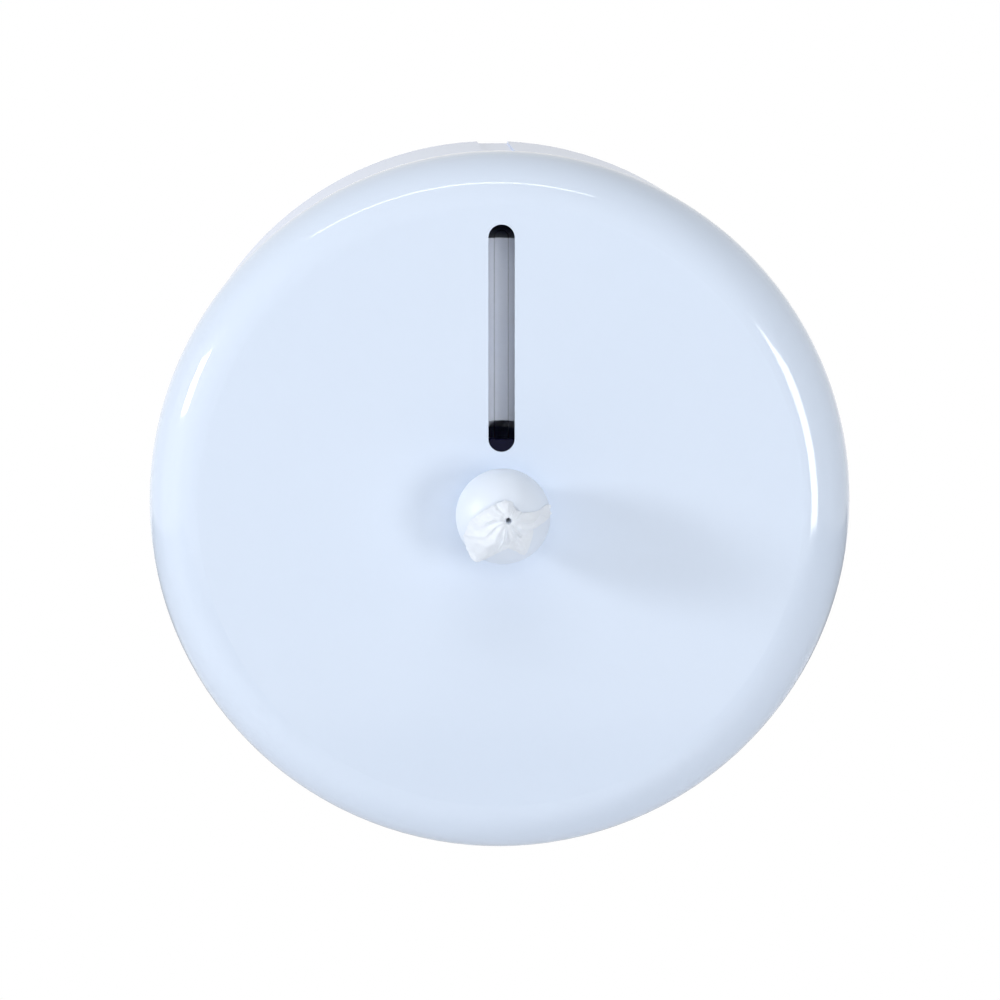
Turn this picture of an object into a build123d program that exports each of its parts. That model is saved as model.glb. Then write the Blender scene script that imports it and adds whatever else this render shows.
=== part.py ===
from build123d import *
import os
from math import cos, radians, sin, sqrt

# Centrefeed toilet tissue dispenser: a round wall housing, a hinged front cover with a sight window,
# a key lock on top and a swivelling nozzle that the tissue is drawn through.
# The back face lies on the wall in the plane Y = 0, the front faces -Y and +Z is up. A depth is a
# distance from the wall towards the front. The origin is the centre of the four wall screws.

os.makedirs("parts", exist_ok=True)

# Tissue roll, which sets the size of the object
roll_radius = 103.0
roll_bore = 27.5
roll_width = 134.0
roll_back = 6.0
roll_surround = 32.0
roll_front_gap = 8.0
roll_edge = 2.5

# Housing
join_overlap = 1.0
parting_gap = 1.0
wall = 2.5
back_plate = 3.0
housing_step = 0.3
housing_draft = 1.3
back_edge_round = 1.5
spigot_length = 5.0
spigot_wall = 2.0
spigot_clearance = 0.7
plate_rib_height = 2.2
plate_rib_width = 1.6
plate_rib_count = 8

# Wall screws
wall_screw_spacing_x = 160.0
wall_screw_spacing_z = 160.0
wall_screw_radius = 2.75
wall_screw_pad_radius = 8.0
wall_screw_pad_height = 2.0

# Cover
cover_depth = 32.5
cover_draft = 0.4
rim_round = 19.5
hub_radius = 25.5
hub_depth = 5.0
cover_rib_height = 3.5
cover_rib_width = 1.6
cover_rib_count = 10

# Sight window
window_width = 10.0
window_nozzle_gap = 7.7
window_catch_gap = 3.1
window_clearance = 0.12
window_recess = 0.6
window_step = 2.4
window_lip = 6.0
window_end_lip = 2.5
window_flange = 2.0
pocket_clearance = 0.3
stake_radius = 1.5
stake_head_radius = 2.6
stake_head_height = 1.2
stake_head_taper = 25.0
stake_inset = 7.0

# Hinge
hinge_setback = 6.0
hinge_inset = 6.6
knuckle_radius = 3.4
pin_radius = 1.5
pin_clearance = 0.06
cover_lug_inner = 11.5
cover_lug_width = 8.0
base_lug_width = 8.0
lug_gap = 0.5
hinge_notch_half = 30.0
hinge_notch_back = 11.0
base_lug_root = 16.0
cover_lug_reach = 15.0
lug_foot_inset = 0.3
pocket_wall = 2.0
pocket_height = 7.0

# Cradle
cradle_clearance = 0.5
seat_gap = 0.05
cradle_wall = 2.5
cradle_setback = 6.0
cradle_back = 8.0
cradle_half_angle = 58.0
boss_height = 8.0
web_thickness = 2.5
cradle_rib_width = 2.0
cradle_rib_count = 5
cradle_rib_margin = 3.0
cradle_wall_gap = 0.8
cradle_screw_angles = (-128.0, -102.0, -78.0, -52.0)
access_radius = 9.0
boss_radius = 4.2
screw_radius = 1.5
screw_hole_clearance = 0.2
screw_head_radius = 2.9
screw_head_height = 1.8
screw_length = 7.5
screw_hole_spare = 0.4
recess_radius = 1.3
recess_depth = 0.9

# Lock
channel_width = 12.5
channel_depth = 1.0
lock_setback = 10.0
lock_pad_half = 9.5
lock_pad_thickness = 3.6
lock_sleeve_radius = 5.0
lock_sleeve_clearance = 0.05
lock_sleeve_length = 14.0
lock_flange_radius = 5.9
lock_flange_height = 0.8
barrel_radius = 3.9
barrel_clearance = 0.05
barrel_tail = 0.4
key_slot_width = 1.2
key_slot_length = 5.6
key_slot_depth = 3.0
nut_flats = 14.0
nut_height = 3.5
cam_thickness = 2.0
cam_pivot_radius = 5.0
cam_width = 8.0
cam_length = 20.0

# Catch on the cover
catch_inner = 8.0
catch_width = 10.0
catch_thickness = 2.5
catch_drop = 2.6
catch_gap = 1.5
catch_lip_height = 6.6
catch_foot_height = 11.0
catch_foot_side = 4.0
catch_screw_spread = 5.5
catch_screw_rise = 6.2
catch_boss_height = 4.0

# Nozzle
socket_radius = 25.0
socket_flange = 2.5
socket_nose_radius = 13.9
socket_nose_clearance = 0.1
socket_nose_reach = 1.5
socket_screw_ring = 20.0
socket_screw_count = 3
neck_radius = 11.5
neck_clearance = 0.08
neck_bore = 8.5
neck_tail = 3.6
neck_collar_radius = 13.6
neck_collar_depth = 2.0
neck_collar_gap = 0.2
neck_reach = 22.0
ring_radius = 15.0
ring_thickness = 1.6
ring_groove = 1.2
ring_gap = 0.3
ring_split = 4.0
head_radius = 17.7
head_plane = 25.0
head_crown = 12.5
head_edge = 2.4
head_flare = 16.0
head_skirt_radius = 13.2
head_skirt_reach = 9.5
orifice_radius = 7.0
orifice_throat = 4.2
orifice_length = 7.0
orifice_wall = 1.0
orifice_lip = 1.5
orifice_mouth = 6.0

# Tissue
strand_radius = 3.4
strand_sides = 8
lead_gap = 0.5
lead_trim = 1.2
strand_twist = 40.0
paper_gap = 1.0
paper_root_lift = 0.6
fold_height = 2.2
fold_count = 4
paper_thickness = 1.3
# The loose ends of the tissue, as stops (x, z, width) from the orifice outwards
tissue_ends = (
    ((-1.0, -1.0, 6.5), (-6.5, -5.5, 12.0), (-11.0, -11.5, 11.0), (-13.0, -15.0, 6.0)),
    ((1.0, 0.4, 6.0), (7.5, 2.0, 8.0), (13.5, 4.2, 6.0), (17.0, 5.6, 3.0)),
    ((0.6, -1.0, 5.0), (4.5, -6.5, 7.5), (7.5, -11.5, 3.0)),
)


def at(depth):
    """The sketch plane parallel to the wall at this depth, looking towards the front."""
    return Plane.XZ.offset(depth)


def ring_point(radius, angle):
    """The point (x, z) on a circle about the centre, with its angle in degrees from +X."""
    return (radius * cos(radians(angle)), radius * sin(radians(angle)))


def save(piece, label):
    """Labels a finished piece and writes it as its own STEP file."""
    piece.label = label
    export_step(piece, f"parts/{label}.step")


def pan_screws(places):
    """Pan-head screws with a drive recess, one on each plane: its origin is the seat under the head."""
    with BuildPart() as screws:
        for place in places:
            with BuildSketch(place):
                Circle(screw_head_radius)
            extrude(amount=screw_head_height)
            with BuildSketch(place):
                Circle(screw_radius)
            extrude(amount=-screw_length)
            with BuildSketch(place.offset(screw_head_height)):
                RegularPolygon(recess_radius, 6)
            extrude(amount=-recess_depth, mode=Mode.SUBTRACT)
    return screws.part


face_depth = roll_back + roll_width + roll_front_gap + wall
parting_depth = face_depth - cover_depth
cover_radius = roll_radius + roll_surround
cover_back_radius = cover_radius - cover_draft
housing_front_radius = cover_back_radius - housing_step
housing_back_radius = housing_front_radius - housing_draft
inner_face_depth = face_depth - wall
housing_inner_front = housing_front_radius - wall
housing_inner_back = housing_back_radius - wall
cover_inner_radius = cover_back_radius - wall
cover_edge_depth = parting_depth + parting_gap
spigot_radius = cover_inner_radius - spigot_clearance
spigot_inner = spigot_radius - spigot_wall
spigot_depth = parting_depth + spigot_length
flat_radius = cover_radius - rim_round
rim_depth = face_depth - rim_round
web_depth = back_plate + boss_height
web_front = web_depth + web_thickness
web_radius = housing_inner_back - cradle_wall_gap
cradle_front = parting_depth - cradle_setback
cradle_radius = roll_radius + cradle_clearance
cradle_outer = cradle_radius + cradle_wall
cradle_screw_ring = (cradle_outer + web_radius) / 2
roll_drop = cradle_clearance - seat_gap
roll_front = roll_back + roll_width
hub_back_depth = inner_face_depth - hub_depth
socket_back_depth = hub_back_depth - socket_flange
socket_front_depth = face_depth + socket_nose_reach
channel_floor = housing_back_radius - channel_depth
lock_pad_bottom = channel_floor - lock_pad_thickness
lock_depth = parting_depth - lock_setback
hinge_depth = parting_depth - hinge_setback
hinge_drop = cover_back_radius - hinge_inset
base_lug_inner = cover_lug_inner + cover_lug_width + lug_gap
base_lug_outer = base_lug_inner + base_lug_width
hinge_line = (-hinge_depth, -hinge_drop)
notch_back = hinge_depth - hinge_notch_back
pocket_half = hinge_notch_half + pocket_wall
pocket_top = knuckle_radius + pocket_height - hinge_drop
lug_foot = sqrt((cover_back_radius - lug_foot_inset) ** 2 - (cover_lug_inner + cover_lug_width) ** 2)
cradle_rib_angles = [
    (2 * i / (cradle_rib_count - 1) - 1) * (cradle_half_angle - cradle_rib_margin) - 90.0
    for i in range(cradle_rib_count)
]
wall_screw_places = [
    (x * wall_screw_spacing_x / 2, z * wall_screw_spacing_z / 2) for x in (-1, 1) for z in (-1, 1)
]
socket_screw_angles = [-90.0 + 360.0 * i / socket_screw_count for i in range(socket_screw_count)]

# Base housing: a drafted drum with a back plate, a spigot for the cover, bosses, lugs and a key channel
with BuildPart() as base_housing:
    with BuildSketch(Plane.XY):
        with BuildLine():
            Polyline(
                (0, 0),
                (housing_back_radius, 0),
                (housing_front_radius, -parting_depth),
                (spigot_radius, -parting_depth),
                (spigot_radius, -spigot_depth),
                (spigot_inner, -spigot_depth),
                (spigot_inner, -parting_depth + wall),
                (housing_inner_front, -parting_depth + wall + spigot_length),
                (housing_inner_back, -back_plate),
                (0, -back_plate),
                close=True,
            )
        make_face()
    revolve(axis=Axis.Y)
    back_edge = base_housing.edges().filter_by(GeomType.CIRCLE).group_by(Axis.Y)[-1]
    fillet(back_edge, back_edge_round)
    # Ribs on the back plate, kept under the roll's back face
    with BuildSketch(at(back_plate)):
        with PolarLocations(0, plate_rib_count):
            with Locations(((housing_inner_back + roll_bore) / 2, 0)):
                Rectangle(housing_inner_back - roll_bore + join_overlap, plate_rib_width)
        Circle(roll_bore + plate_rib_width)
        Circle(roll_bore, mode=Mode.SUBTRACT)
    extrude(amount=plate_rib_height)
    # Pads and holes for the wall screws
    with BuildSketch(at(back_plate)):
        with Locations(*wall_screw_places):
            Circle(wall_screw_pad_radius)
    extrude(amount=wall_screw_pad_height)
    with BuildSketch(at(0)):
        with Locations(*wall_screw_places):
            Circle(wall_screw_radius)
    extrude(amount=back_plate + plate_rib_height + wall_screw_pad_height, mode=Mode.SUBTRACT)
    with BuildSketch(at(back_plate + wall_screw_pad_height)):
        with Locations(*wall_screw_places):
            Circle(wall_screw_pad_radius)
    extrude(amount=plate_rib_height, mode=Mode.SUBTRACT)
    # Bosses for the cradle screws
    with BuildSketch(at(back_plate)):
        with Locations(*[ring_point(cradle_screw_ring, a) for a in cradle_screw_angles]):
            Circle(boss_radius)
    extrude(amount=web_depth - back_plate)
    with BuildSketch(at(web_depth)):
        with Locations(*[ring_point(cradle_screw_ring, a) for a in cradle_screw_angles]):
            Circle(screw_radius)
    extrude(amount=-screw_length, mode=Mode.SUBTRACT)
    # Key channel along the top, with a flat pad inside for the lock
    with BuildSketch(Plane.XY.offset(lock_pad_bottom)):
        with Locations((0, -lock_depth)):
            Rectangle(2 * lock_pad_half, 2 * lock_pad_half)
    extrude(amount=lock_pad_thickness)
    with BuildSketch(Plane.YZ):
        with BuildLine():
            Polyline(
                (join_overlap, channel_floor),
                (-parting_depth - join_overlap, channel_floor + housing_draft),
                (-parting_depth - join_overlap, cover_radius + wall),
                (join_overlap, cover_radius + wall),
                close=True,
            )
        make_face()
    extrude(amount=channel_width / 2, both=True, mode=Mode.SUBTRACT)
    with BuildSketch(Plane.XY.offset(lock_pad_bottom)):
        with Locations((0, -lock_depth)):
            Circle(lock_sleeve_radius + lock_sleeve_clearance)
    extrude(amount=2 * lock_pad_thickness, mode=Mode.SUBTRACT)
    with BuildSketch(Plane.XY.offset(channel_floor)):
        with Locations((0, -lock_depth)):
            Circle(lock_flange_radius + lock_sleeve_clearance)
    extrude(amount=lock_pad_thickness, mode=Mode.SUBTRACT)
    # Notch at the bottom, where the rim of the cover swings in, its pocket and the two hinge lugs
    with BuildSketch(Plane.XY.offset(-cover_radius - wall)):
        with Locations((0, -hinge_depth + hinge_notch_back)):
            Rectangle(
                2 * hinge_notch_half,
                2 * hinge_notch_back + spigot_length,
                align=(Align.CENTER, Align.MAX),
            )
    extrude(amount=cover_radius - hinge_drop + wall + 2 * knuckle_radius, mode=Mode.SUBTRACT)
    for front, back, opening in (
        (notch_back, notch_back - pocket_wall, 0),
        (parting_depth, notch_back, hinge_notch_half),
    ):
        with BuildSketch(at(back)):
            with Locations((0, pocket_top + pocket_wall)):
                Rectangle(2 * pocket_half, cover_radius, align=(Align.CENTER, Align.MAX))
            Circle(housing_inner_front + wall / 2, mode=Mode.INTERSECT)
            if opening:
                with Locations((0, pocket_top)):
                    Rectangle(
                        2 * opening,
                        cover_radius,
                        align=(Align.CENTER, Align.MAX),
                        mode=Mode.SUBTRACT,
                    )
        extrude(amount=front - back)
    for side in (-1, 1):
        with BuildSketch(Plane.YZ.offset(side * (base_lug_inner + base_lug_width / 2))):
            with Locations(hinge_line):
                Circle(knuckle_radius)
                Rectangle(base_lug_root, 2 * knuckle_radius, align=(Align.MIN, Align.CENTER))
        extrude(amount=base_lug_width / 2, both=True)
        with BuildSketch(Plane.YZ.offset(side * (base_lug_inner + base_lug_width / 2))):
            with Locations(hinge_line):
                Circle(pin_radius)
        extrude(amount=base_lug_width, both=True, mode=Mode.SUBTRACT)
save(base_housing.part, "base_housing")

# Roll cradle: a curved tray on ribs, with a web that is screwed to the bosses of the housing
with BuildPart() as roll_cradle:
    with BuildSketch(at(cradle_back)) as tray:
        Circle(cradle_outer)
        Circle(cradle_radius, mode=Mode.SUBTRACT)
        with BuildLine():
            Polyline(
                (0, 0),
                ring_point(2 * cradle_outer, -90.0 - cradle_half_angle),
                (0, -4 * cradle_outer),
                ring_point(2 * cradle_outer, -90.0 + cradle_half_angle),
                close=True,
            )
        make_face(mode=Mode.INTERSECT)
    extrude(amount=cradle_front - cradle_back)
    with BuildSketch(at(web_depth)) as web:
        Circle(web_radius)
        Circle(cradle_radius + cradle_wall / 2, mode=Mode.SUBTRACT)
        with BuildLine():
            Polyline(
                (0, 0),
                ring_point(2 * cradle_outer, -90.0 - cradle_half_angle),
                (0, -4 * cradle_outer),
                ring_point(2 * cradle_outer, -90.0 + cradle_half_angle),
                close=True,
            )
        make_face(mode=Mode.INTERSECT)
        with Locations(*[ring_point(cradle_screw_ring, a) for a in cradle_screw_angles]):
            Circle(screw_radius + screw_hole_clearance, mode=Mode.SUBTRACT)
        with Locations(*[place for place in wall_screw_places if place[1] < 0]):
            Circle(access_radius, mode=Mode.SUBTRACT)
    extrude(amount=web_thickness)
    for angle in cradle_rib_angles:
        rib_plane = Plane(origin=(0, 0, 0), x_dir=(cos(radians(angle)), 0, sin(radians(angle))),
                          z_dir=(-sin(radians(angle)), 0, cos(radians(angle))))
        with BuildSketch(rib_plane):
            with BuildLine():
                Polyline(
                    (cradle_radius + cradle_wall / 2, -web_depth),
                    (web_radius, -web_depth),
                    (web_radius, -cradle_front / 2),
                    (cradle_radius + cradle_wall / 2, -cradle_front),
                    close=True,
                )
            make_face()
        extrude(amount=cradle_rib_width / 2, both=True)
save(roll_cradle.part, "roll_cradle")

cradle_screws = pan_screws(
    [
        Plane(origin=(x, -web_front, z), x_dir=(1, 0, 0), z_dir=(0, -1, 0))
        for x, z in [ring_point(cradle_screw_ring, a) for a in cradle_screw_angles]
    ]
)
save(cradle_screws, "cradle_screws")

# Lock sleeve: a flanged tube through the pad, held by a nut from below
sleeve_top = channel_floor + lock_flange_height
sleeve_bottom = sleeve_top - lock_sleeve_length
with BuildPart() as lock_sleeve:
    with BuildSketch(Plane.XY.offset(sleeve_bottom)):
        with Locations((0, -lock_depth)):
            Circle(lock_sleeve_radius)
    extrude(amount=lock_sleeve_length)
    with BuildSketch(Plane.XY.offset(channel_floor)):
        with Locations((0, -lock_depth)):
            Circle(lock_flange_radius)
    extrude(amount=lock_flange_height)
    with BuildSketch(Plane.XY.offset(sleeve_bottom)):
        with Locations((0, -lock_depth)):
            Circle(barrel_radius + barrel_clearance)
    extrude(amount=lock_sleeve_length, mode=Mode.SUBTRACT)
save(lock_sleeve.part, "lock_sleeve")

with BuildPart() as lock_nut:
    with BuildSketch(Plane.XY.offset(lock_pad_bottom)):
        with Locations((0, -lock_depth)):
            RegularPolygon(nut_flats / 2, 6, major_radius=False)
            Circle(lock_sleeve_radius + lock_sleeve_clearance, mode=Mode.SUBTRACT)
    extrude(amount=-nut_height)
save(lock_nut.part, "lock_nut")

# Lock barrel: the plug that the key turns, with its keyway on top
barrel_bottom = sleeve_bottom - barrel_tail
with BuildPart() as lock_barrel:
    with BuildSketch(Plane.XY.offset(barrel_bottom)):
        with Locations((0, -lock_depth)):
            Circle(barrel_radius)
    extrude(amount=sleeve_top - barrel_bottom)
    with BuildSketch(Plane.XY.offset(sleeve_top)):
        with Locations((0, -lock_depth)):
            SlotOverall(key_slot_length, key_slot_width)
    extrude(amount=-key_slot_depth, mode=Mode.SUBTRACT)
    with BuildSketch(Plane.XY.offset(barrel_bottom)):
        with Locations((0, -lock_depth)):
            Circle(screw_radius)
    extrude(amount=screw_length - cam_thickness + screw_hole_spare, mode=Mode.SUBTRACT)
save(lock_barrel.part, "lock_barrel")

# Lock cam: a flat tongue under the barrel, which points forward while the lock is open
cam_bottom = barrel_bottom - cam_thickness
with BuildPart() as lock_cam:
    with BuildSketch(Plane.XY.offset(cam_bottom)):
        with Locations((0, -lock_depth)):
            Circle(cam_pivot_radius)
            Rectangle(cam_width, cam_length - cam_width / 2, align=(Align.CENTER, Align.MAX))
        with Locations((0, -lock_depth - cam_length + cam_width / 2)):
            Circle(cam_width / 2)
        with Locations((0, -lock_depth)):
            Circle(screw_radius, mode=Mode.SUBTRACT)
    extrude(amount=cam_thickness)
save(lock_cam.part, "lock_cam")

cam_screw = pan_screws([Plane(origin=(0, -lock_depth, cam_bottom), x_dir=(1, 0, 0), z_dir=(0, 0, -1))])
save(cam_screw, "cam_screw")

# Front cover: a shallow dish with a large round rim, a hub for the nozzle and a slot for the window
window_bottom = socket_nose_radius + socket_nose_clearance + window_nozzle_gap
catch_arm_top = cam_bottom - catch_drop
catch_arm_bottom = catch_arm_top - catch_thickness
window_top = catch_arm_bottom - window_catch_gap
window_length = window_top - window_bottom
window_middle = (window_top + window_bottom) / 2
stake_places = [
    (side * (window_width + window_lip) / 2, window_middle + end * (window_length / 2 - stake_inset))
    for side in (-1, 1)
    for end in (-1, 0, 1)
]
catch_back_depth = lock_depth - cam_width / 2 - catch_gap - catch_thickness
catch_seat_depth = inner_face_depth - catch_boss_height - catch_thickness
catch_middle = catch_inner + catch_width / 2
catch_foot_width = catch_width + 2 * catch_foot_side
catch_screw_places = [
    (catch_middle + side * catch_screw_spread, catch_arm_bottom + catch_screw_rise) for side in (-1, 1)
]
with BuildPart() as front_cover:
    with BuildSketch(Plane.XY):
        with BuildLine():
            Line((0, -face_depth), (flat_radius, -face_depth))
            RadiusArc((flat_radius, -face_depth), (cover_radius, -rim_depth), -rim_round)
            Line((cover_radius, -rim_depth), (cover_back_radius, -cover_edge_depth))
            Line((cover_back_radius, -cover_edge_depth), (cover_inner_radius, -cover_edge_depth))
            Line((cover_inner_radius, -cover_edge_depth), (cover_radius - wall, -rim_depth))
            RadiusArc((cover_radius - wall, -rim_depth), (flat_radius, -inner_face_depth), rim_round - wall)
            Line((flat_radius, -inner_face_depth), (0, -inner_face_depth))
            Line((0, -inner_face_depth), (0, -face_depth))
        make_face()
    revolve(axis=Axis.Y)
    with BuildSketch(at(hub_back_depth)):
        Circle(hub_radius)
    extrude(amount=hub_depth)
    # Ribs from the hub to the rim, left out beside the window
    with BuildSketch(at(inner_face_depth - cover_rib_height)):
        for i in range(cover_rib_count):
            angle = 360.0 * (i + 0.5) / cover_rib_count - 90.0
            if abs(sin(radians(angle)) - 1) > 1 - cos(radians(180.0 / cover_rib_count)):
                with Locations(Plane((0, 0, 0), x_dir=(cos(radians(angle)), sin(radians(angle)), 0))):
                    with Locations(((hub_radius + flat_radius) / 2, 0)):
                        Rectangle(flat_radius - hub_radius + join_overlap, cover_rib_width)
    extrude(amount=cover_rib_height)
    # Pocket in the hub for the flange of the window
    with BuildSketch(at(hub_back_depth)):
        with Locations((0, window_middle)):
            SlotOverall(
                window_length + 2 * window_end_lip + 2 * pocket_clearance,
                window_width + 2 * window_lip + 2 * pocket_clearance,
                rotation=90,
            )
    extrude(amount=hub_depth, mode=Mode.SUBTRACT)
    # Hole and pilot holes for the nozzle socket
    with BuildSketch(at(hub_back_depth)):
        Circle(socket_nose_radius + socket_nose_clearance)
    extrude(amount=face_depth - hub_back_depth, mode=Mode.SUBTRACT)
    with BuildSketch(at(hub_back_depth)):
        with Locations(*[ring_point(socket_screw_ring, a) for a in socket_screw_angles]):
            Circle(screw_radius)
    extrude(amount=screw_length - socket_flange + screw_hole_spare, mode=Mode.SUBTRACT)
    # Slot for the window and the stakes that hold its flange
    with BuildSketch(at(inner_face_depth)):
        with Locations((0, window_middle)):
            SlotOverall(window_length, window_width, rotation=90)
    extrude(amount=wall, mode=Mode.SUBTRACT)
    with BuildSketch(at(inner_face_depth)):
        with Locations(*stake_places):
            Circle(stake_radius)
    extrude(amount=-window_flange)
    for x, z in stake_places:
        with BuildSketch(at(inner_face_depth - window_flange)):
            with Locations((x, z)):
                Circle(stake_head_radius)
        extrude(amount=-stake_head_height, taper=stake_head_taper)
    # Boss for the catch, at the top of the inner face
    with BuildSketch(at(inner_face_depth - catch_boss_height)):
        with Locations((catch_middle, catch_arm_bottom)):
            Rectangle(catch_foot_width, catch_foot_height, align=(Align.CENTER, Align.MIN))
    extrude(amount=catch_boss_height)
    with BuildSketch(at(inner_face_depth - catch_boss_height)):
        with Locations(*catch_screw_places):
            Circle(screw_radius)
    extrude(amount=screw_length - catch_thickness + screw_hole_spare, mode=Mode.SUBTRACT)
    # Two hinge lugs that reach back into the notch of the housing
    for side in (-1, 1):
        with BuildSketch(Plane.YZ.offset(side * (cover_lug_inner + cover_lug_width / 2))):
            with BuildLine():
                Polyline(
                    (-hinge_depth, knuckle_radius - hinge_drop),
                    (-hinge_depth - cover_lug_reach, knuckle_radius - hinge_drop),
                    (-hinge_depth - cover_lug_reach, -lug_foot),
                    (-cover_edge_depth, -lug_foot),
                    (-cover_edge_depth, -knuckle_radius - hinge_drop),
                    (-hinge_depth, -knuckle_radius - hinge_drop),
                    close=True,
                )
            make_face()
            with Locations(hinge_line):
                Circle(knuckle_radius)
        extrude(amount=cover_lug_width / 2, both=True)
        with BuildSketch(Plane.YZ.offset(side * (cover_lug_inner + cover_lug_width / 2))):
            with Locations(hinge_line):
                Circle(pin_radius + pin_clearance)
        extrude(amount=cover_lug_width, both=True, mode=Mode.SUBTRACT)
save(front_cover.part, "front_cover")

# Hinge pins, fixed in the lugs of the housing
for side, label in ((-1, "hinge_pin_left"), (1, "hinge_pin_right")):
    with BuildPart() as hinge_pin:
        with BuildSketch(Plane.YZ.offset(side * cover_lug_inner)):
            with Locations(hinge_line):
                Circle(pin_radius)
        extrude(amount=side * (base_lug_outer - cover_lug_inner))
    save(hinge_pin.part, label)

# Window lens: a smoked strip in the slot, with a raised middle and a flange behind the cover
with BuildPart() as window_lens:
    with BuildSketch(at(inner_face_depth)):
        with Locations((0, window_middle)):
            SlotOverall(window_length + 2 * window_end_lip, window_width + 2 * window_lip, rotation=90)
        with Locations(*stake_places):
            Circle(stake_radius, mode=Mode.SUBTRACT)
    extrude(amount=-window_flange)
    with BuildSketch(at(inner_face_depth)):
        with Locations((0, window_middle)):
            SlotOverall(
                window_length - 2 * window_clearance,
                window_width - 2 * window_clearance,
                rotation=90,
            )
    extrude(amount=wall - window_recess)
    with BuildSketch(at(face_depth - window_recess)):
        with Locations((0, window_middle)):
            SlotOverall(window_length - 2 * window_step, window_width - 2 * window_step, rotation=90)
    extrude(amount=window_recess)
save(window_lens.part, "window_lens")

# Catch: an arm that reaches back beside the lock, with a lip that the cam closes in front of
with BuildPart() as cover_catch:
    with BuildSketch(at(inner_face_depth - catch_boss_height)):
        with Locations((catch_middle, catch_arm_bottom)):
            Rectangle(catch_foot_width, catch_foot_height, align=(Align.CENTER, Align.MIN))
        with Locations(*catch_screw_places):
            Circle(screw_radius + screw_hole_clearance, mode=Mode.SUBTRACT)
    extrude(amount=-catch_thickness)
    with BuildSketch(at(inner_face_depth - catch_boss_height)):
        with Locations((catch_middle, catch_arm_bottom)):
            Rectangle(catch_width, catch_thickness, align=(Align.CENTER, Align.MIN))
    extrude(amount=catch_back_depth - inner_face_depth + catch_boss_height)
    with BuildSketch(at(catch_back_depth)):
        with Locations((catch_middle, catch_arm_bottom)):
            Rectangle(catch_width, catch_thickness + catch_lip_height, align=(Align.CENTER, Align.MIN))
    extrude(amount=catch_thickness)
save(cover_catch.part, "cover_catch")

catch_screws = pan_screws(
    [
        Plane(origin=(x, -catch_seat_depth, z), x_dir=(1, 0, 0), z_dir=(0, 1, 0))
        for x, z in catch_screw_places
    ]
)
save(catch_screws, "catch_screws")

# Nozzle socket: the plain bearing that is screwed to the hub from inside
with BuildPart() as nozzle_socket:
    with BuildSketch(at(socket_back_depth)):
        Circle(socket_radius)
        with Locations(*[ring_point(socket_screw_ring, a) for a in socket_screw_angles]):
            Circle(screw_radius + screw_hole_clearance, mode=Mode.SUBTRACT)
    extrude(amount=socket_flange)
    with BuildSketch(at(hub_back_depth)):
        Circle(socket_nose_radius)
    extrude(amount=socket_front_depth - hub_back_depth)
    nose_edge = nozzle_socket.edges().filter_by(GeomType.CIRCLE).group_by(Axis.Y)[0]
    fillet(nose_edge, socket_nose_reach / 2)
    with BuildSketch(at(socket_back_depth)):
        Circle(neck_radius + neck_clearance)
    extrude(amount=socket_front_depth - socket_back_depth, mode=Mode.SUBTRACT)
save(nozzle_socket.part, "nozzle_socket")

socket_screws = pan_screws(
    [
        Plane(origin=(x, -socket_back_depth, z), x_dir=(1, 0, 0), z_dir=(0, 1, 0))
        for x, z in [ring_point(socket_screw_ring, a) for a in socket_screw_angles]
    ]
)
save(socket_screws, "socket_screws")

# Nozzle neck: a tube with a collar in front of the socket and a groove for the ring behind it
neck_back_depth = socket_back_depth - neck_tail
collar_depth = socket_front_depth + neck_collar_gap
neck_front_depth = face_depth + neck_reach
groove_front = socket_back_depth - ring_gap
groove_back = groove_front - ring_thickness
groove_radius = neck_radius - ring_groove
with BuildPart() as nozzle_neck:
    with BuildSketch(Plane.XY):
        with BuildLine():
            Polyline(
                (groove_radius, -neck_back_depth),
                (neck_radius, -neck_back_depth - ring_groove / 2),
                (neck_radius, -groove_back),
                (groove_radius, -groove_back),
                (groove_radius, -groove_front),
                (neck_radius, -groove_front),
                (neck_radius, -collar_depth),
                (neck_collar_radius, -collar_depth),
                (neck_collar_radius, -collar_depth - neck_collar_depth / 2),
                (neck_radius, -collar_depth - neck_collar_depth),
                (neck_radius, -neck_front_depth),
                (neck_bore, -neck_front_depth),
                (neck_bore, -neck_back_depth - neck_tail),
                (groove_radius, -neck_back_depth),
                close=False,
            )
        make_face()
    revolve(axis=Axis.Y)
save(nozzle_neck.part, "nozzle_neck")

with BuildPart() as nozzle_ring:
    with BuildSketch(at(groove_back)):
        Circle(ring_radius)
        Circle(groove_radius, mode=Mode.SUBTRACT)
        with Locations((0, -ring_radius)):
            Rectangle(ring_split, 2 * (ring_radius - groove_radius) + join_overlap, mode=Mode.SUBTRACT)
    extrude(amount=ring_thickness)
save(nozzle_ring.part, "nozzle_ring")

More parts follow.
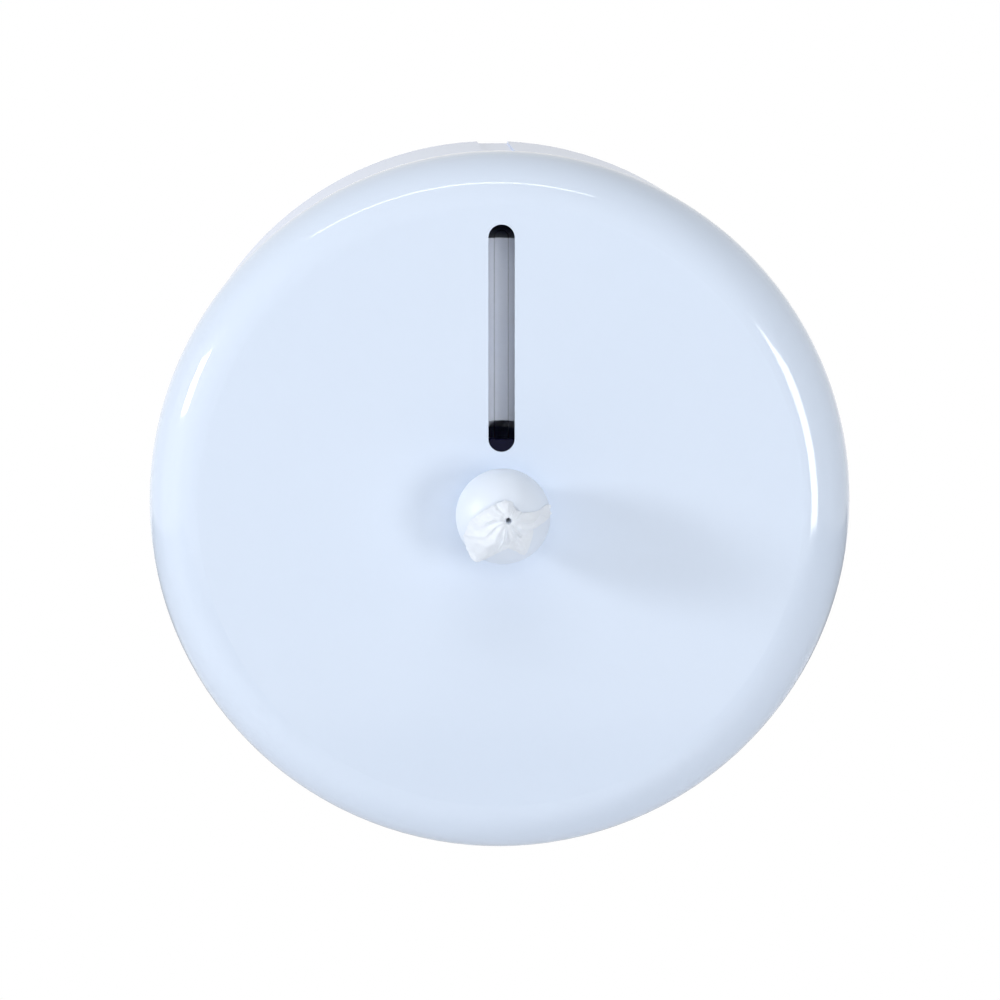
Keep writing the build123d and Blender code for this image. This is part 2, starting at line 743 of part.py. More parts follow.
# Nozzle head: a round knob with a crowned front and a waisted skirt
head_plane_depth = face_depth + head_plane
head_tip_depth = head_plane_depth + head_crown
head_skirt_depth = face_depth + head_skirt_reach
crown_radius = (head_radius**2 + head_crown**2) / (2 * head_crown)
seat_front_depth = head_tip_depth - crown_radius + sqrt(crown_radius**2 - orifice_radius**2)
with BuildPart() as nozzle_head:
    with BuildSketch(Plane.XY):
        with BuildLine():
            Line((neck_radius, -head_skirt_depth), (head_skirt_radius, -head_skirt_depth))
            RadiusArc(
                (head_skirt_radius, -head_skirt_depth),
                (head_radius, -head_plane_depth + head_edge),
                head_flare,
            )
            RadiusArc(
                (head_radius, -head_plane_depth + head_edge),
                (head_radius, -head_plane_depth),
                -head_edge,
            )
            RadiusArc((head_radius, -head_plane_depth), (orifice_radius, -seat_front_depth), crown_radius)
            Line((orifice_radius, -seat_front_depth), (orifice_radius, orifice_length - seat_front_depth))
            Line((orifice_radius, orifice_length - seat_front_depth), (neck_bore, -neck_front_depth))
            Line((neck_bore, -neck_front_depth), (neck_radius, -neck_front_depth))
            Line((neck_radius, -neck_front_depth), (neck_radius, -head_skirt_depth))
        make_face()
    revolve(axis=Axis.Y)
save(nozzle_head.part, "nozzle_head")

# Orifice: the insert that grips the strand, so that it tears off sheet by sheet
with BuildPart() as nozzle_orifice:
    with BuildSketch(Plane.XY):
        with BuildLine():
            Polyline(
                (orifice_radius, -seat_front_depth),
                (orifice_radius, orifice_length - seat_front_depth),
                (orifice_radius - orifice_wall, orifice_length - seat_front_depth),
                (orifice_throat, orifice_length / 2 - seat_front_depth),
                (orifice_throat, orifice_lip - seat_front_depth),
                (orifice_mouth - orifice_lip / 2, orifice_lip / 3 - seat_front_depth),
                (orifice_mouth, -seat_front_depth),
                close=True,
            )
        make_face()
    revolve(axis=Axis.Y)
save(nozzle_orifice.part, "nozzle_orifice")

# Tissue roll: coreless, standing on its side on the cradle
with BuildPart() as tissue_roll:
    with BuildSketch(at(roll_back)):
        with Locations((0, -roll_drop)):
            Circle(roll_radius)
            Circle(roll_bore, mode=Mode.SUBTRACT)
    extrude(amount=roll_width)
    chamfer(tissue_roll.edges().filter_by(GeomType.CIRCLE), roll_edge / 2)
save(tissue_roll.part, "tissue_roll")

# Tissue lead: the strand that peels off the innermost turn and twists towards the nozzle
lead_start = (0, -roll_front / 2, -roll_drop - roll_bore + strand_radius)
lead_end = (0, -neck_back_depth + lead_gap, 0)
with BuildPart() as tissue_lead:
    with BuildLine() as lead_path:
        Line(lead_start, lead_end)
    with BuildSketch(Plane(origin=lead_start, z_dir=lead_path.line % 0)):
        RegularPolygon(strand_radius, strand_sides)
    sweep()
    split(bisect_by=Plane.XZ.offset(neck_back_depth - lead_gap - lead_trim), keep=Keep.BOTTOM)
save(tissue_lead.part, "tissue_lead")


def crown_depth(radius):
    """Depth of the crown of the nozzle head at this radius, held at its edge."""
    return head_tip_depth - crown_radius + sqrt(crown_radius**2 - min(radius, head_radius) ** 2)


def folded_strip(width):
    """Outline of a strip of tissue with sharp folds across its width."""
    front = [
        (width * (i / fold_count - 0.5), paper_thickness + fold_height * (i % 2)) for i in range(fold_count + 1)
    ]
    back = [(x, y - paper_thickness) for x, y in reversed(front)]
    Polyline(*front, *back, close=True)


# Tissue tail: the strand through the nozzle and its crumpled ends, which lie over the crown of the head
strand_back_depth = neck_back_depth + lead_gap
with BuildPart() as tissue_tail:
    with BuildSketch(at(strand_back_depth)):
        RegularPolygon(strand_radius, strand_sides)
    with BuildSketch(at(head_tip_depth + paper_gap)):
        RegularPolygon(strand_radius, strand_sides, rotation=strand_twist)
    loft(ruled=True)
    for stops in tissue_ends:
        spots = [
            Vector(x, -crown_depth(sqrt(x * x + z * z)) - paper_gap - (paper_root_lift if i == 0 else 0), z)
            for i, (x, z, width) in enumerate(stops)
        ]
        for i, (x, z, width) in enumerate(stops):
            along = (spots[min(i + 1, len(spots) - 1)] - spots[max(i - 1, 0)]).normalized()
            across = along.cross(Vector(0, 1, 0)).normalized()
            with BuildSketch(Plane(origin=spots[i], x_dir=across, z_dir=along)):
                with BuildLine():
                    folded_strip(width)
                make_face()
        loft(ruled=True)
save(tissue_tail.part, "tissue_tail")
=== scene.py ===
# %% [markdown]
# This scene dresses a centrefeed toilet tissue dispenser: a round white housing on the wall, a glossy
# dished cover with a smoked sight window, and a knob in the middle that the tissue is drawn through.
# The hard pieces come from the CAD frame at their real place, so here they only get their finish. The
# tissue is modelled here, because paper folds and frays in ways that a solid can't show.

# %% Load the frame
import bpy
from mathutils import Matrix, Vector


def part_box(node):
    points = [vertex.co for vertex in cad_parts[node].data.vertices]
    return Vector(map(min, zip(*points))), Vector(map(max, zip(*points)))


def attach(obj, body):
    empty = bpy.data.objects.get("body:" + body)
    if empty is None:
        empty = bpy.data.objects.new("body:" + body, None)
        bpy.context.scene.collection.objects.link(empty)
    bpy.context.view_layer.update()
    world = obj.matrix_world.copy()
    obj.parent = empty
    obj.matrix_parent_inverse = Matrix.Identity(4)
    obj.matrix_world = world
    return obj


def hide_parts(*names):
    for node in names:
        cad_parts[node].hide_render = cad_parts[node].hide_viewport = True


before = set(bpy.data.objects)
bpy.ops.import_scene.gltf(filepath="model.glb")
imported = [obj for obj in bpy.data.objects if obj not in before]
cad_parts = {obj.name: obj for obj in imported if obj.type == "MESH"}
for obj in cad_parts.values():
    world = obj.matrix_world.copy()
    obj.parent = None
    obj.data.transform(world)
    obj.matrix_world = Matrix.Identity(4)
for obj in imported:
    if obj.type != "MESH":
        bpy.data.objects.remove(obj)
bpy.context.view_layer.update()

import math

import bpy
from mathutils import Vector, noise

MM = 0.001
print("CAD nodes:", len(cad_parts))

# %% [markdown]
# Shader maths reads best as plain expressions. The class below wraps one socket, so that adding or
# multiplying two of them makes the Math node that does it, and one method makes every other node.

# %% Shader helpers
class Wire:
    """One output socket, with the arithmetic operators that a shader needs."""

    def __init__(self, board, socket):
        self.board = board
        self.socket = socket

    def maths(self, operation, *others):
        return self.board.add("Math", {"operation": operation}, self, *others)

    def __add__(self, other):
        return self.maths("ADD", other)

    def __sub__(self, other):
        return self.maths("SUBTRACT", other)

    def __rsub__(self, other):
        return self.board.add("Math", {"operation": "SUBTRACT"}, other, self)

    def __mul__(self, other):
        return self.maths("MULTIPLY", other)

    def __truediv__(self, other):
        return self.maths("DIVIDE", other)


class Board:
    """The node tree of one material, started from its Principled shader."""

    def __init__(self, name, **values):
        self.material = bpy.data.materials.new(name)
        self.material.use_nodes = True
        self.tree = self.material.node_tree
        self.shader = self.tree.nodes["Principled BSDF"]
        for label, value in values.items():
            self.shader.inputs[label.replace("_", " ").title().replace("Ior", "IOR")].default_value = value

    def feed(self, socket, value):
        if isinstance(value, Wire):
            self.tree.links.new(value.socket, socket)
        else:
            socket.default_value = value

    def add(self, kind, settings=None, *values, output=0, **named):
        """A new node with its settings and inputs, as a wire from one of its outputs."""
        node = self.tree.nodes.new("ShaderNode" + kind)
        for key, value in (settings or {}).items():
            setattr(node, key, value)
        for socket, value in zip(node.inputs, values):
            self.feed(socket, value)
        for key, value in named.items():
            self.feed(node.inputs[key.title()], value)
        return Wire(self, node.outputs[output])

    def spot(self, stretch=(1, 1, 1)):
        """Object coordinates, scaled along each axis."""
        return self.add("Mapping", vector=self.add("TexCoord", output="Object"), scale=stretch)

    def noise(self, scale, detail=3.0, roughness=0.5, stretch=(1, 1, 1)):
        return self.add("TexNoise", vector=self.spot(stretch), scale=scale, detail=detail, roughness=roughness)

    def blend(self, amount, first, second):
        """A colour between two, by an amount that varies over the surface."""
        return self.add("MixRGB", {"blend_type": "MIX"}, amount, first, second)

    def bump(self, height, strength, distance):
        return self.add("Bump", strength=strength, distance=distance, height=height)

    def to(self, label, value):
        self.feed(self.shader.inputs[label], value)


def srgb(red, green, blue):
    """A linear colour from the 0 to 255 values that a screen shows."""
    def line(c):
        c = c / 255
        return c / 12.92 if c <= 0.04045 else ((c + 0.055) / 1.055) ** 2.4
    return (line(red), line(green), line(blue), 1.0)


print("helpers ready, white is", srgb(255, 255, 255))

# %% [markdown]
# The cover is injection moulded and polished, a white with a cool cast. Such a surface is never quite
# even: the gloss wavers by a hair where the melt cooled, and a very shallow ripple bends reflections.

# %% Moulded plastics
cloud_scale, grain_scale, ripple_scale = 9.0, 160.0, 14.0
cloud_gloss, grain_gloss = 0.03, 0.02
ripple_distance = 0.6 * MM


def moulded(name, color, shade, roughness, ripple=0.02, coat=0.0, gloss=0.5):
    """A moulded plastic whose tone, gloss and flatness waver slightly."""
    board = Board(name, specular_ior_level=gloss, ior=1.47, coat_roughness=0.05)
    cloud = board.noise(cloud_scale, 2.0)
    board.to("Base Color", board.blend(cloud, color, shade))
    grain = board.noise(grain_scale, 2.0)
    even = roughness - (cloud_gloss + grain_gloss) / 2
    board.to("Roughness", cloud * cloud_gloss + grain * grain_gloss + even)
    board.to("Coat Weight", coat)
    board.to("Normal", board.bump(board.noise(ripple_scale, 1.0), ripple, ripple_distance))
    return board.material


cover_white = moulded("cover_white", srgb(219, 231, 248), srgb(216, 229, 247), 0.08, coat=0.25)
housing_white = moulded("housing_white", srgb(212, 225, 250), srgb(209, 222, 249), 0.20, gloss=0.1)
nozzle_white = moulded("nozzle_white", srgb(229, 238, 251), srgb(226, 236, 250), 0.42)
inner_grey = moulded("inner_grey", srgb(198, 204, 214), srgb(190, 197, 208), 0.42, ripple=0.05)
print("moulded:", cover_white.name, housing_white.name, nozzle_white.name, inner_grey.name)

# %% [markdown]
# The window is a smoked strip. It lets the roll show as a grey shape, so its alpha does the work that
# real absorption would, and it stays glossy on top of that. Its foot is painted nearly black and opaque,
# a painted shade for the deep shadow inside the housing that also hides the socket behind it, and a pale
# line follows the step in the strip, at one distance from its middle line.

# %% Smoked window
lens_low, lens_high = (Vector(corner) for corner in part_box("window_lens"))
lens_middle = (lens_low.z + lens_high.z) / 2
lens_round_end = 7.5 * MM
lens_straight = (lens_high.z - lens_low.z) / 2 - lens_round_end
lens_step = 2.65 * MM
step_line_width = 0.35 * MM
step_line_alpha = 0.22
shaded_foot_top = 26.2 * MM
foot_fade = 0.4 * MM
foot_shade_alpha = 0.97


def smoked():
    """Smoked plastic, nearly clear, with a painted shade over its foot and the line of the step."""
    board = Board("smoked_window", specular_ior_level=0.1, ior=1.49)
    haze = board.noise(40.0, 2.0)
    board.to("Base Color", board.blend(haze, srgb(14, 15, 42), srgb(10, 11, 34)))
    board.to("Roughness", haze * 0.05 + 0.05)
    across = board.add("SeparateXYZ", None, board.spot(), output="X")
    height = board.add("SeparateXYZ", None, board.spot(), output="Z")
    # Below this height the strip turns nearly black and opaque: painted shade for the dark inside of the
    # housing.
    foot = board.add("MapRange", None, height, shaded_foot_top + foot_fade, shaded_foot_top, 0.0, 1.0)
    beyond = ((height - lens_middle).maths("ABSOLUTE") - lens_straight).maths("MAXIMUM", 0.0)
    from_axis = (across * across + beyond * beyond).maths("SQRT")
    off_step = (from_axis - lens_step).maths("ABSOLUTE") / step_line_width
    step_line = 1 - off_step.maths("MINIMUM", 1.0)
    clear = haze * 0.02 + 0.012 + step_line * step_line_alpha
    board.to("Alpha", clear.maths("MAXIMUM", foot * foot_shade_alpha))
    return board.material


window_smoke = smoked()
print("window strip mm:", [round(side / MM, 1) for side in lens_high - lens_low])

# %% [markdown]
# Screws, pins and the cam are zinc-plated steel with fine drawing marks. The lock is bright plated brass.

# %% Metals
def drawn_metal(name, color, shade, roughness, stretch):
    """Plated metal with fine marks along one direction."""
    board = Board(name, specular_ior_level=0.5)
    board.to("Metallic", 1.0)
    marks = board.noise(900.0, 2.0, stretch=stretch)
    board.to("Base Color", board.blend(marks, color, shade))
    board.to("Roughness", marks * 0.15 + roughness)
    board.to("Normal", board.bump(marks, 0.15, 0.1 * MM))
    return board.material


zinc = drawn_metal("zinc_plated_steel", srgb(176, 180, 186), srgb(150, 154, 160), 0.28, (1, 0.2, 1))
lock_plate = drawn_metal("bright_lock_plating", srgb(214, 216, 220), srgb(196, 198, 204), 0.12, (1, 1, 0.2))
print("metals:", zinc.name, lock_plate.name)

# %% [markdown]
# Tissue is soft and matt. A fine emboss covers it, the fibres leave it slightly cloudy, and a little light
# passes through, which a pale sheen stands in for here.

# %% Tissue
def tissue_paper(name, color, shade, emboss):
    """Soft paper with embossed dimples and fibres."""
    board = Board(name, specular_ior_level=0.15, sheen_weight=0.25, sheen_roughness=0.6)
    cloud = board.noise(60.0, 4.0, 0.7)
    board.to("Base Color", board.blend(cloud, color, shade))
    board.to("Roughness", cloud * 0.1 + 0.85)
    dimples = board.add("TexVoronoi", {"feature": "SMOOTH_F1"}, vector=board.spot(), scale=emboss)
    fibres = board.noise(1400.0, 3.0, 0.7)
    board.to("Normal", board.bump(dimples * 0.7 + fibres * 0.5, 0.35, 0.3 * MM))
    return board.material


tissue_white = tissue_paper("tissue_white", srgb(240, 245, 252), srgb(230, 238, 249), 700.0)
roll_white = tissue_paper("tissue_roll_white", srgb(236, 242, 254), srgb(226, 234, 251), 420.0)
print("papers:", tissue_white.name, roll_white.name)

# %% Give every CAD node its finish
finishes = {
    "base_housing": housing_white,
    "roll_cradle": inner_grey,
    "cradle_screws": zinc,
    "lock_sleeve": lock_plate,
    "lock_nut": lock_plate,
    "lock_barrel": lock_plate,
    "lock_cam": zinc,
    "cam_screw": zinc,
    "front_cover": cover_white,
    "hinge_pin_left": zinc,
    "hinge_pin_right": zinc,
    "window_lens": window_smoke,
    "cover_catch": inner_grey,
    "catch_screws": zinc,
    "nozzle_socket": nozzle_white,
    "socket_screws": zinc,
    "nozzle_neck": nozzle_white,
    "nozzle_ring": zinc,
    "nozzle_head": nozzle_white,
    "nozzle_orifice": nozzle_white,
    "tissue_roll": roll_white,
    "tissue_lead": tissue_white,
    "tissue_tail": tissue_white,
}
for node, finish in finishes.items():
    piece = bpy.data.objects[node]
    piece.data.materials.clear()
    piece.data.materials.append(finish)
print("finished nodes:", len(finishes))

# %% [markdown]
# The roll is wound paper without a core. A cylinder is added, both ends are inset again and again, and
# every other ring of faces is pushed in by a fraction of a millimetre, as the edges of wound turns lie.
# The innermost ring is then bridged through to leave the hollow core, and the turns nearest to it are
# drawn inwards at the front, as they are once paper has been pulled from the middle.

# %% Helpers for modelling
def start_clean():
    if bpy.context.object and bpy.context.object.mode != "OBJECT":
        bpy.ops.object.mode_set(mode="OBJECT")
    bpy.ops.object.select_all(action="DESELECT")


def outward_normals():
    """Turns every face of the piece in edit mode outwards and leaves edit mode."""
    bpy.ops.mesh.select_all(action="SELECT")
    bpy.ops.mesh.normals_make_consistent(inside=False)
    bpy.ops.object.mode_set(mode="OBJECT")


def settle(name, finish, slot, body, *nodes):
    """Names a finished piece, applies its place, hangs it on its body and hides the CAD nodes that it stands
    for.
    """
    piece = bpy.context.object
    piece.name = name
    bpy.ops.object.transform_apply(location=True, rotation=True, scale=True)
    piece.data.materials.clear()
    piece.data.materials.append(finish)
    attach(piece, body)
    if nodes:
        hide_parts(*nodes)
    size = [round(side / MM, 1) for side in piece.dimensions]
    print(name, "mm:", size, "faces:", len(piece.data.polygons))


def select_faces(test):
    """Selects the faces of the piece in edit mode whose centre and normal pass a test."""
    bpy.ops.mesh.select_mode(type="FACE")
    bpy.ops.mesh.select_all(action="DESELECT")
    bpy.ops.object.mode_set(mode="OBJECT")
    for face in bpy.context.object.data.polygons:
        face.select = test(face.center, face.normal)
    bpy.ops.object.mode_set(mode="EDIT")


print("modelling helpers ready")

# %% Tissue roll
roll_low, roll_high = (Vector(corner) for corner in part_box("tissue_roll"))
front_fullness = 1.5 * MM
roll_low.y -= front_fullness
roll_centre = (roll_low + roll_high) / 2
roll_radius = (roll_high.x - roll_low.x) / 2
roll_bore = 27.5 * MM
roll_rings = 26
ring_step = (roll_radius - roll_bore) / roll_rings
turn_depth = 0.28 * MM

start_clean()
bpy.ops.mesh.primitive_cylinder_add(
    vertices=160, radius=roll_radius, depth=roll_high.y - roll_low.y - 2 * turn_depth,
    location=roll_centre, rotation=(math.pi / 2, 0, 0), end_fill_type="NGON",
)
bpy.ops.object.transform_apply(location=True, rotation=True, scale=True)
bpy.ops.object.mode_set(mode="EDIT")
select_faces(lambda centre, normal: abs(normal.y) > 0.9)
for ring in range(roll_rings):
    bpy.ops.mesh.inset(thickness=ring_step, depth=turn_depth if ring % 2 == 0 else -turn_depth)
bpy.ops.mesh.bridge_edge_loops()
outward_normals()
print("wound rings:", roll_rings, "each mm:", round(ring_step / MM, 2))

# %% Uneven turns and the drawn-out middle of the roll
outer_margin = 0.5 * MM
turn_waver = 0.25 * MM
drawn_reach = 32.0 * MM
drawn_lean = 0.25
drawn_slope = 14.0
drawn_depth = 30.0 * MM

for vertex in bpy.context.object.data.vertices:
    spot = vertex.co - roll_centre
    reach, angle = math.hypot(spot.x, spot.z), math.atan2(spot.z, spot.x)
    if reach < roll_radius - outer_margin:
        vertex.co.y += turn_waver * noise.noise(Vector((reach * 300, angle * 1.5, spot.y * 5)))
    if spot.y < 0:
        inside = max(drawn_reach + drawn_lean * spot.x - reach, 0.0)
        vertex.co.y += min(inside * drawn_slope, drawn_depth)
bpy.ops.object.shade_smooth_by_angle(angle=math.radians(40))
settle("tissue_roll_wound", roll_white, "tissue", "housing", "tissue_roll")

# %% [markdown]
# Inside, the strand is drawn from the innermost turn towards the nozzle and twists as it goes. A star
# shaped ring is added and extruded step by step along its way, turned a little at each step. The ring has
# only vertices and edges, so the select mode is set to vertices first: in face mode nothing is extruded.

# %% Twisted strands
strand_points, points_per_fold = 24, 4
fold_depth = 0.74
strand_wall = 0.5 * MM


def twisted_strand(name, start, end, radius, steps, turn, body, node):
    """A twisted tube of folded paper from start to end, open at its front."""
    start_clean()
    way = end - start
    bpy.ops.mesh.primitive_circle_add(vertices=strand_points, radius=radius, fill_type="NOTHING", location=start)
    ring = bpy.context.object
    for index, vertex in enumerate(ring.data.vertices):
        vertex.co *= 1.0 if index % points_per_fold < points_per_fold / 2 else fold_depth
    ring.rotation_mode = "QUATERNION"
    ring.rotation_quaternion = way.to_track_quat("Z", "X")
    bpy.ops.object.transform_apply(location=True, rotation=True, scale=True)
    bpy.ops.object.mode_set(mode="EDIT")
    bpy.ops.mesh.select_mode(type="VERT")
    bpy.ops.mesh.select_all(action="SELECT")
    for step in range(steps):
        bpy.ops.mesh.extrude_region_move(TRANSFORM_OT_translate={"value": way / steps})
        bpy.ops.object.mode_set(mode="OBJECT")
        moved = [v for v in ring.data.vertices if v.select]
        middle = sum((v.co for v in moved), Vector()) / len(moved)
        for vertex in moved:
            spoke = vertex.co - middle
            side = way.normalized().cross(spoke)
            vertex.co = middle + spoke * math.cos(turn) + side * math.sin(turn)
        bpy.ops.object.mode_set(mode="EDIT")
    outward_normals()
    shell = ring.modifiers.new("paper", "SOLIDIFY")
    shell.thickness = strand_wall
    shell.offset = -1
    smooth = ring.modifiers.new("soft", "SUBSURF")
    smooth.levels = smooth.render_levels = 1
    for modifier in (shell, smooth):
        bpy.ops.object.modifier_apply(modifier=modifier.name)
    bpy.ops.object.shade_smooth_by_angle(angle=math.radians(60))
    settle(name, tissue_white, "tissue", body, node)


# %% The strand inside the housing
lead_low, lead_high = (Vector(corner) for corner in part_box("tissue_lead"))
strand_radius = 3.3 * MM
strand_room = strand_radius * 1.1
lead_trim = 0.4 * MM
twisted_strand(
    "tissue_lead_twisted",
    Vector((0, lead_high.y - strand_radius, lead_low.z + strand_room)),
    Vector((0, lead_low.y + lead_trim, lead_high.z - strand_room)),
    strand_radius, 14, 0.22, "housing", "tissue_lead",
)

# %% [markdown]
# The loose end is the liveliest piece of the object: the strand opens in the mouth of the knob and its
# torn sheets lie over the crown, a broad wad to the lower left with a thin arm to the right, a fold under
# it and a small flap below. Each is a grid between two torn edges, creased round the mouth.

# %% Crown of the knob
head_low, head_high = (Vector(corner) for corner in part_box("nozzle_head"))
head_radius = (head_high.x - head_low.x) / 2
crown_rise = 12.5 * MM
orifice_low, orifice_high = (Vector(corner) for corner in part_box("nozzle_orifice"))
crown_radius = (head_radius**2 + crown_rise**2) / (2 * crown_rise)
mouth_radius = 7.0 * MM
crown_tip = orifice_low.y - (crown_radius - math.sqrt(crown_radius**2 - mouth_radius**2))
crown_share = 0.985


def crown(x, z):
    """The Y of the crown of the knob at a place in front of it."""
    reach = min(math.hypot(x, z), head_radius * crown_share)
    return crown_tip + crown_radius - math.sqrt(crown_radius**2 - reach**2)


print("crown radius mm:", round(crown_radius / MM, 2), "tip at Y mm:", round(crown_tip / MM, 2))

# %% A torn sheet
mouth_middle = Vector((1.5, 0.6))
mouth_reach = 1.25
mouth_drop = 9.0
tear_size = 0.5
crumple_size = 0.45
least_lift = 0.3
crease_start, crease_growth = 1.2, 5.0


def along(stops, share):
    """A smooth value between the stops of a list, at a share of its length."""
    place = share * (len(stops) - 1)
    index = min(int(place), len(stops) - 2)
    part = place - index
    before = stops[max(index - 1, 0)]
    after = stops[min(index + 2, len(stops) - 1)]
    first, second = stops[index], stops[index + 1]
    return 0.5 * (
        2 * first
        + (second - before) * part
        + (2 * before - 5 * first + 4 * second - after) * part**2
        + (3 * first - before - 3 * second + after) * part**3
    )


def cloud_at(spot, scale, seed):
    """Smooth noise at a spot, from -1 to 1."""
    return noise.noise(Vector((spot.x * scale, spot.y * scale, seed)))


def torn_sheet(name, upper, lower, lifts, fold_height, seed, columns=110, rows=54):
    """A creased sheet over the crown between an upper and a lower torn edge (x, z), in millimetres."""
    start_clean()
    bpy.ops.mesh.primitive_grid_add(x_subdivisions=columns, y_subdivisions=rows, size=2.0)
    sheet = bpy.context.object
    sheet.name = name
    top = [Vector(stop) for stop in upper]
    bottom = [Vector(stop) for stop in lower]
    for vertex in sheet.data.vertices:
        share, down = (vertex.co.x + 1) / 2, (1 - vertex.co.y) / 2
        spot = along(top, share).lerp(along(bottom, share), down)
        edge = 4 * down * (1 - down) * 4 * share * (1 - share)
        tear = cloud_at(spot, 0.9, seed)
        spot += (spot - mouth_middle).normalized() * tear * tear_size * max(0.0, 1 - 2.5 * edge)
        spoke = spot - mouth_middle
        reach, angle = spoke.length, math.atan2(spoke.y, spoke.x)
        bend = cloud_at(spot, 0.16, seed + 4)
        crease = 0.6 * math.sin(5 * angle + seed + 2.2 * bend) + 0.4 * math.sin(11 * angle - seed + 4 * bend)
        crease = 1 - 2 * abs(crease) ** 0.8
        crumple = cloud_at(spot, 0.45, seed + 9)
        lift = along(lifts, share) * (0.35 + 0.65 * min(1.0, 1.6 * edge) ** 0.5)
        grown = min(1.0, max(0.0, (reach - crease_start) / crease_growth))
        lift += fold_height * crease * grown + crumple_size * crumple
        lift = max(lift, least_lift)
        if reach < mouth_reach:
            lift -= mouth_drop * (1 - (reach / mouth_reach) ** 2)
        y = crown(spot.x * MM, spot.y * MM) - lift * MM
        vertex.co = Vector((spot.x * MM, y, spot.y * MM))
    return sheet


# %% Loose ends of the tissue
sheets = [
    torn_sheet(
        "wad_and_arm",
        [(-14.9, -6.4), (-12.7, -0.8), (-8.9, 3.0), (-5.2, 5.4), (-1.5, 7.3), (2.2, 7.8),
         (4.4, 4.8), (6.4, 3.5), (10.0, 3.2), (13.2, 3.6), (15.8, 5.0), (17.4, 4.9)],
        [(-14.6, -8.4), (-13.1, -13.1), (-10.6, -16.2), (-7.8, -15.6), (-4.6, -12.6), (-1.0, -10.2),
         (2.0, -8.2), (5.4, -6.7), (9.0, -4.2), (12.4, -2.3), (15.8, -0.7), (17.8, 1.4)],
        [0.8, 1.6, 2.4, 3.0, 3.2, 3.0, 2.6, 2.2, 2.0, 1.8, 1.9, 1.7], 0.75, 0.7,
    ),
    torn_sheet(
        "under_fold",
        [(-12.6, -4.0), (-7.5, 0.4), (-2.5, 2.6), (2.0, 2.6), (6.0, 1.4)],
        [(-13.9, -11.0), (-9.6, -16.6), (-3.8, -13.2), (1.2, -10.2), (5.6, -7.4)],
        [0.5, 0.8, 0.9, 0.8, 0.6], 0.3, 3.1, 60, 40,
    ),
    torn_sheet(
        "flap",
        [(-0.8, -6.6), (3.0, -5.6), (6.0, -4.4), (8.6, -3.4), (10.4, -2.8)],
        [(-1.2, -9.2), (3.4, -11.0), (7.6, -13.5), (9.4, -10.6), (10.8, -4.6)],
        [0.5, 0.6, 0.7, 0.7, 0.6], 0.25, 5.2, 50, 40,
    ),
]
print("torn sheets:", [sheet.name for sheet in sheets])

# %% Join the loose ends and give them their thickness
start_clean()
for sheet in sheets:
    sheet.select_set(True)
bpy.context.view_layer.objects.active = sheets[0]
bpy.ops.object.join()
bpy.ops.object.mode_set(mode="EDIT")
outward_normals()
paper = bpy.context.object.modifiers.new("paper", "SOLIDIFY")
paper.thickness = 0.22 * MM
paper.offset = 0
bpy.ops.object.modifier_apply(modifier=paper.name)
bpy.ops.object.shade_smooth_by_angle(angle=math.radians(70))
settle("tissue_loose_ends", tissue_white, "tissue", "nozzle", "tissue_tail")

# %% The strand in the nozzle
tail_low, tail_high = (Vector(corner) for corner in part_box("tissue_tail"))
tail_trim = 0.2 * MM
aside = 0.6 * MM
twisted_strand(
    "tissue_strand_in_nozzle",
    Vector((0, tail_high.y - tail_trim, 0)), Vector((aside, crown_tip + aside, -aside)),
    strand_radius, 16, 0.2, "nozzle", "tissue_tail",
)

# %% [markdown]
# The stage is plain: a pale floor well below that shows plain white to the camera, a world that is white
# for the camera, in reflections and through clear pieces, and soft light. A low lamp on the left draws
# the long shadow of the knob, and one on the right a short one. The soft lamps at the front, above and
# behind only lift the tones, so reflections don't show them.

# %% Floor
floor_level = -0.62
floor_side = 6.0
start_clean()
bpy.ops.mesh.primitive_plane_add(size=floor_side, location=(0, 0, floor_level))
floor = bpy.context.object
floor.name = "floor"
floor_board = Board("floor_white", specular_ior_level=0.2)
floor_board.to("Base Color", floor_board.blend(floor_board.noise(3.0), srgb(246, 247, 250), srgb(243, 245, 248)))
floor_board.to("Roughness", floor_board.noise(20.0) * 0.1 + 0.6)
seen = floor_board.add("LightPath", output="Is Camera Ray")
glow = floor_board.add("Emission", None, (1, 1, 1, 1), 1.0)
lit = Wire(floor_board, floor_board.shader.outputs[0])
mixed = floor_board.add("MixShader", None, seen, lit, glow)
floor_board.feed(floor_board.tree.nodes["Material Output"].inputs["Surface"], mixed)
floor.data.materials.append(floor_board.material)
print("floor at Z m:", floor_level)

# %% World
light_strength, seen_strength = 0.27, 1.0
world = bpy.data.worlds.new("studio")
bpy.context.scene.world = world
world.use_nodes = True
sky = world.node_tree
background = sky.nodes["Background"]
path = sky.nodes.new("ShaderNodeLightPath")
level = sky.nodes.new("ShaderNodeMix")
level.data_type = "FLOAT"
level.inputs["A"].default_value = light_strength
level.inputs["B"].default_value = seen_strength
shown = path.outputs["Is Camera Ray"]
for ray in ("Is Glossy Ray", "Is Transmission Ray"):
    total = sky.nodes.new("ShaderNodeMath")
    total.operation = "ADD"
    total.use_clamp = True
    sky.links.new(shown, total.inputs[0])
    sky.links.new(path.outputs[ray], total.inputs[1])
    shown = total.outputs[0]
sky.links.new(shown, level.inputs["Factor"])
sky.links.new(level.outputs["Result"], background.inputs["Strength"])
background.inputs["Color"].default_value = (1, 1, 1, 1)
print("world strength:", light_strength, "as light,", seen_strength, "as seen")

# %% Lamps
face_middle = Vector((0, -0.15, 0))


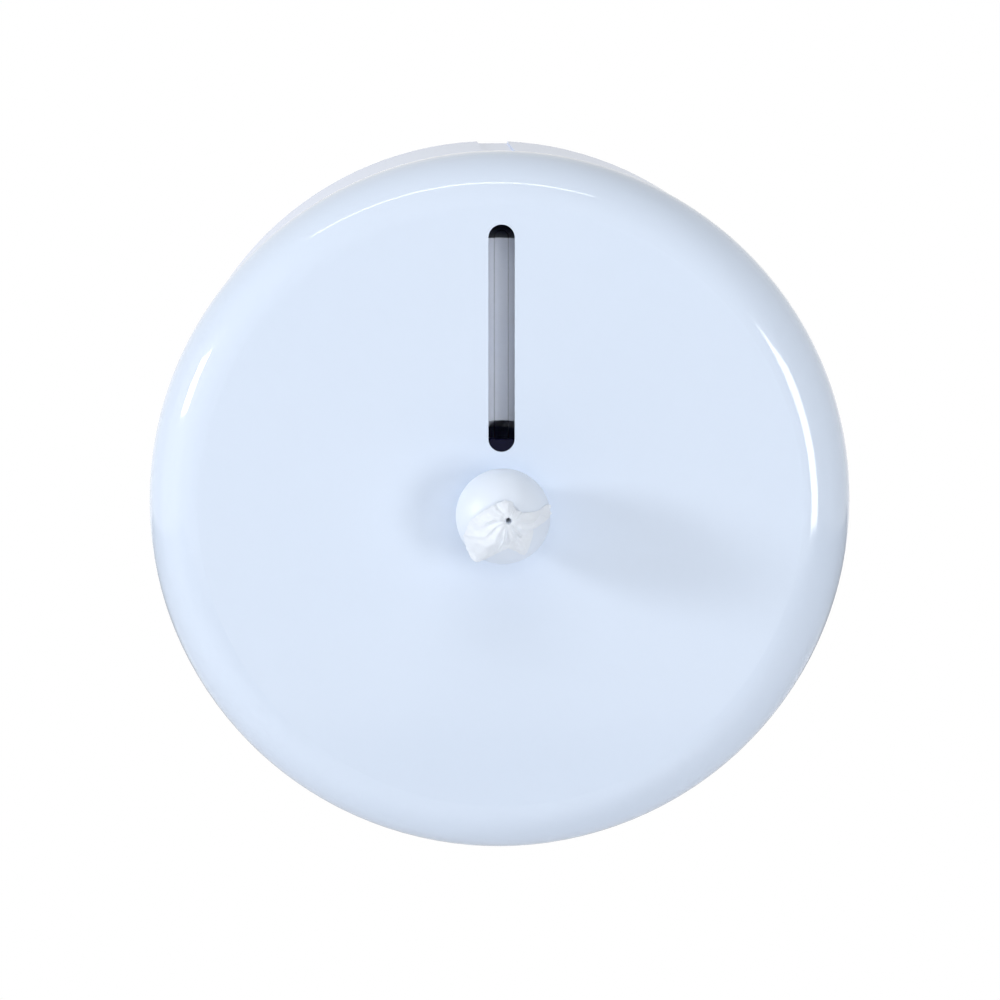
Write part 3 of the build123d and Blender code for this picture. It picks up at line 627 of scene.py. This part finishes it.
def lamp(name, place, width, height, power):
    """A soft rectangular lamp that looks at the middle of the face."""
    light = bpy.data.lights.new(name, "AREA")
    light.shape = "RECTANGLE"
    light.size, light.size_y = width, height
    light.energy = power
    holder = bpy.data.objects.new(name, light)
    bpy.context.collection.objects.link(holder)
    holder.location = place
    holder.rotation_euler = (face_middle - Vector(place)).to_track_quat("-Z", "Y").to_euler()
    return holder


lamp("left_key", (-1.40, -0.72, 0.40), 0.30, 0.30, 10.0)
lamp("left_panel", (-1.60, -0.60, 0.00), 1.50, 1.50, 2.5)
lamp("right_fill", (0.80, -1.30, 0.02), 0.35, 0.50, 4.8)
lamp("top_strip", (-0.25, -1.10, 1.25), 1.50, 0.05, 2.2)
softeners = [
    lamp("front_soft", (0.10, -1.75, 0.42), 0.70, 0.50, 3.8),
    lamp("top_soft", (0.00, -0.90, 1.40), 1.00, 0.60, 2.6),
    lamp("back_left", (-1.00, 1.30, 0.05), 0.60, 0.60, 5.0),
    lamp("back_right", (1.00, 1.30, 0.05), 0.60, 0.60, 6.5),
]
for holder in softeners:
    holder.visible_glossy = False

# %% [markdown]
# The photograph was taken from a little above with a long lens, so the top of the housing just shows
# behind the rim of the cover.

# %% Camera
camera_height_angle = 7.5
camera_side_angle = -1.5
camera_distance = 1.60
pixels_per_mm = 2.588
picture_width = 1000
rim_centre = Vector((0, -0.128, 0.0003))
rise, turn = math.radians(camera_height_angle), math.radians(camera_side_angle)
back = Vector((math.sin(turn) * math.cos(rise), -math.cos(turn) * math.cos(rise), math.sin(rise)))
camera = bpy.data.objects.new("camera", bpy.data.cameras.new("camera"))
bpy.context.collection.objects.link(camera)
camera.location = rim_centre + back * camera_distance
camera.rotation_euler = (-back).to_track_quat("-Z", "Y").to_euler()
camera.data.sensor_width = 36.0
pixels_per_m = pixels_per_mm / MM
camera.data.lens = pixels_per_m * camera_distance * camera.data.sensor_width / picture_width
camera.data.clip_start = 0.05
bpy.context.scene.camera = camera
bpy.context.scene.view_settings.view_transform = "Standard"
print("camera lens mm:", round(camera.data.lens, 1))
